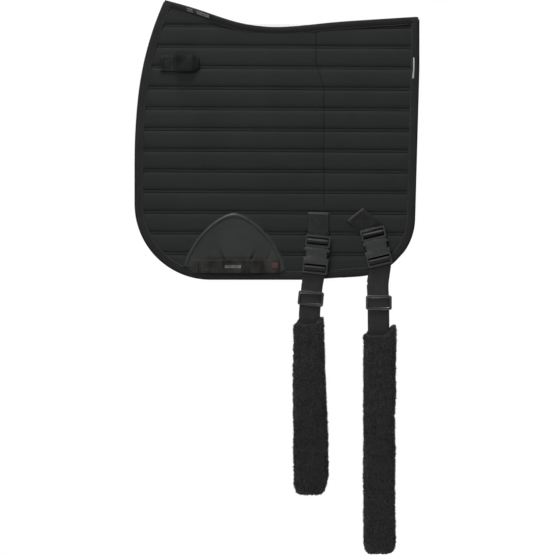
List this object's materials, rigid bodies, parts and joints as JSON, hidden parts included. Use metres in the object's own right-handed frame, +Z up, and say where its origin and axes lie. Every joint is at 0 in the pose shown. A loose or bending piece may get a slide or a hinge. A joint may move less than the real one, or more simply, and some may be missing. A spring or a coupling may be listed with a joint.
{
  "type": "dressage saddle pad with girth bands",
  "caption": "Quilted saddle pad folded over its spine, with girth straps, keepers and buckled fleece-covered bands.",
  "frame": {"origin": "underside of the spine, at the middle of the pad's length, where it rests on the horse's back", "axes": "+Z up from the bands to the spine, +X to the rear, near (left) side towards -Y"},
  "size_m": [0.549, 0.062, 1.0689],
  "materials": {
    "padding": "quilt wadding",
    "shell_fabric": "matte woven cotton twill",
    "lining_fabric": "matte knitted lining",
    "binding_fabric": "ribbed binding tape",
    "patch_fabric": "satin wear patch",
    "strap_fabric": "hook-and-loop strap",
    "webbing": "ribbed woven webbing",
    "buckle_plastic": "satin moulded acetal",
    "fleece": "deep-pile fleece"
  },
  "bodies": {
    "yoke": {"yoke_core": "padding", "yoke_shell": "shell_fabric", "yoke_lining": "lining_fabric", "spine_tape": "binding_fabric", "near_yoke_binding": "binding_fabric", "off_yoke_binding": "binding_fabric"},
    "near_flap": {"near_flap_core": "padding", "near_flap_shell": "shell_fabric", "near_flap_lining": "lining_fabric", "near_flap_binding": "binding_fabric", "near_girth_patch": "patch_fabric", "near_girth_anchor": "strap_fabric", "near_keeper_base": "strap_fabric", "near_web_tab_a": "webbing", "near_male_a": "buckle_plastic", "near_female_a": "buckle_plastic", "near_web_upper_a": "webbing", "near_web_tab_b": "webbing", "near_male_b": "buckle_plastic", "near_female_b": "buckle_plastic", "near_web_upper_b": "webbing"},
    "near_girth_strap": {"near_girth_strap": "strap_fabric"},
    "near_keeper": {"near_keeper_flap": "strap_fabric"},
    "off_flap": {"off_flap_core": "padding", "off_flap_shell": "shell_fabric", "off_flap_lining": "lining_fabric", "off_flap_binding": "binding_fabric", "off_girth_patch": "patch_fabric", "off_girth_anchor": "strap_fabric", "off_keeper_base": "strap_fabric", "off_web_tab_a": "webbing", "off_male_a": "buckle_plastic", "off_female_a": "buckle_plastic", "off_web_upper_a": "webbing", "off_web_tab_b": "webbing", "off_male_b": "buckle_plastic", "off_female_b": "buckle_plastic", "off_web_upper_b": "webbing"},
    "off_girth_strap": {"off_girth_strap": "strap_fabric"},
    "off_keeper": {"off_keeper_flap": "strap_fabric"},
    "near_band_a": {"near_web_lower_a": "webbing", "near_fleece_a": "fleece"},
    "off_band_a": {"off_web_lower_a": "webbing", "off_fleece_a": "fleece"},
    "near_tri_glide_a": {"near_tri_glide_a": "buckle_plastic"},
    "off_tri_glide_a": {"off_tri_glide_a": "buckle_plastic"},
    "near_prong_front_a": {"near_prong_front_a": "buckle_plastic"},
    "near_prong_rear_a": {"near_prong_rear_a": "buckle_plastic"},
    "off_prong_front_a": {"off_prong_front_a": "buckle_plastic"},
    "off_prong_rear_a": {"off_prong_rear_a": "buckle_plastic"},
    "near_band_b": {"near_web_lower_b": "webbing", "near_fleece_b": "fleece"},
    "off_band_b": {"off_web_lower_b": "webbing", "off_fleece_b": "fleece"},
    "near_tri_glide_b": {"near_tri_glide_b": "buckle_plastic"},
    "off_tri_glide_b": {"off_tri_glide_b": "buckle_plastic"},
    "near_prong_front_b": {"near_prong_front_b": "buckle_plastic"},
    "near_prong_rear_b": {"near_prong_rear_b": "buckle_plastic"},
    "off_prong_front_b": {"off_prong_front_b": "buckle_plastic"},
    "off_prong_rear_b": {"off_prong_rear_b": "buckle_plastic"}
  },
  "joints": [
    {"name": "near_flap_fold", "type": "hinge", "parent": "yoke", "child": "near_flap", "pos_m": [0, -0.017, -0.027], "axis": [-1, 0, 0], "range_deg": [0, 20]},
    {"name": "near_girth_strap_open", "type": "hinge", "parent": "near_flap", "child": "near_girth_strap", "pos_m": [-0.15, -0.0188, -0.452], "axis": [0, 0, -1], "range_deg": [0, 110]},
    {"name": "near_keeper_open", "type": "hinge", "parent": "near_flap", "child": "near_keeper", "pos_m": [-0.199, -0.0188, -0.061], "axis": [0, 0, -1], "range_deg": [0, 110]},
    {"name": "off_flap_fold", "type": "hinge", "parent": "yoke", "child": "off_flap", "pos_m": [0, 0.017, -0.027], "axis": [1, 0, 0], "range_deg": [0, 20]},
    {"name": "off_girth_strap_open", "type": "hinge", "parent": "off_flap", "child": "off_girth_strap", "pos_m": [-0.15, 0.0188, -0.452], "axis": [0, 0, 1], "range_deg": [0, 110]},
    {"name": "off_keeper_open", "type": "hinge", "parent": "off_flap", "child": "off_keeper", "pos_m": [-0.199, 0.0188, -0.061], "axis": [0, 0, 1], "range_deg": [0, 110]},
    {"name": "near_band_a_flex", "type": "hinge", "parent": "near_flap", "child": "near_band_a", "pos_m": [0, -0.0184, -0.486], "axis": [1, 0, 0], "range_deg": [0, 42.91]},
    {"name": "band_a_fold", "type": "hinge", "parent": "near_band_a", "child": "off_band_a", "pos_m": [0, 0, -0.893], "axis": [-1, 0, 0], "range_deg": [0, 45.8]},
    {"name": "near_tri_glide_a_slide", "type": "slide", "parent": "near_band_a", "child": "near_tri_glide_a", "axis": [0.0958, 0, 0.9954], "range_m": [-0.01, 0.008]},
    {"name": "off_tri_glide_a_slide", "type": "slide", "parent": "off_band_a", "child": "off_tri_glide_a", "axis": [0.0958, 0, 0.9954], "range_m": [-0.01, 0.008]},
    {"name": "near_prong_front_a_squeeze", "type": "hinge", "parent": "near_flap", "child": "near_prong_front_a", "pos_m": [0.06409, -0.022, -0.41512], "axis": [0, -1, 0], "range_deg": [0, 6], "stiffness_Nm_per_rad": 0.15},
    {"name": "near_prong_rear_a_squeeze", "type": "hinge", "parent": "near_flap", "child": "near_prong_rear_a", "pos_m": [0.09056, -0.022, -0.41781], "axis": [0, 1, 0], "range_deg": [0, 6], "stiffness_Nm_per_rad": 0.15},
    {"name": "off_prong_front_a_squeeze", "type": "hinge", "parent": "off_flap", "child": "off_prong_front_a", "pos_m": [0.06409, 0.022, -0.41512], "axis": [0, -1, 0], "range_deg": [0, 6], "stiffness_Nm_per_rad": 0.15},
    {"name": "off_prong_rear_a_squeeze", "type": "hinge", "parent": "off_flap", "child": "off_prong_rear_a", "pos_m": [0.09056, 0.022, -0.41781], "axis": [0, 1, 0], "range_deg": [0, 6], "stiffness_Nm_per_rad": 0.15},
    {"name": "near_band_b_flex", "type": "hinge", "parent": "near_flap", "child": "near_band_b", "pos_m": [0, -0.0184, -0.486], "axis": [1, 0, 0], "range_deg": [0, 37.64]},
    {"name": "band_b_fold", "type": "hinge", "parent": "near_band_b", "child": "off_band_b", "pos_m": [0, 0, -1.007], "axis": [-1, 0, 0], "range_deg": [0, 35.26]},
    {"name": "near_tri_glide_b_slide", "type": "slide", "parent": "near_band_b", "child": "near_tri_glide_b", "axis": [0, 0, 1], "range_m": [-0.025, 0.012]},
    {"name": "off_tri_glide_b_slide", "type": "slide", "parent": "off_band_b", "child": "off_tri_glide_b", "axis": [0, 0, 1], "range_m": [-0.025, 0.012]},
    {"name": "near_prong_front_b_squeeze", "type": "hinge", "parent": "near_flap", "child": "near_prong_front_b", "pos_m": [0.17506, -0.022, -0.40478], "axis": [0, -1, 0], "range_deg": [0, 6], "stiffness_Nm_per_rad": 0.15},
    {"name": "near_prong_rear_b_squeeze", "type": "hinge", "parent": "near_flap", "child": "near_prong_rear_b", "pos_m": [0.20096, -0.022, -0.39871], "axis": [0, 1, 0], "range_deg": [0, 6], "stiffness_Nm_per_rad": 0.15},
    {"name": "off_prong_front_b_squeeze", "type": "hinge", "parent": "off_flap", "child": "off_prong_front_b", "pos_m": [0.17506, 0.022, -0.40478], "axis": [0, -1, 0], "range_deg": [0, 6], "stiffness_Nm_per_rad": 0.15},
    {"name": "off_prong_rear_b_squeeze", "type": "hinge", "parent": "off_flap", "child": "off_prong_rear_b", "pos_m": [0.20096, 0.022, -0.39871], "axis": [0, 1, 0], "range_deg": [0, 6], "stiffness_Nm_per_rad": 0.15}
  ],
  "couplings": [
    {"joint": "off_flap_fold", "follows": "near_flap_fold", "ratio": 1},
    {"joint": "near_band_a_flex", "follows": "near_flap_fold", "ratio": 2.1448},
    {"joint": "band_a_fold", "follows": "near_flap_fold", "ratio": 2.2896},
    {"joint": "near_prong_front_a_squeeze", "follows": "near_prong_rear_a_squeeze", "ratio": 1},
    {"joint": "off_prong_front_a_squeeze", "follows": "off_prong_rear_a_squeeze", "ratio": 1},
    {"joint": "near_band_b_flex", "follows": "near_flap_fold", "ratio": 1.8813},
    {"joint": "band_b_fold", "follows": "near_flap_fold", "ratio": 1.7626},
    {"joint": "near_prong_front_b_squeeze", "follows": "near_prong_rear_b_squeeze", "ratio": 1},
    {"joint": "off_prong_front_b_squeeze", "follows": "off_prong_rear_b_squeeze", "ratio": 1}
  ]
}
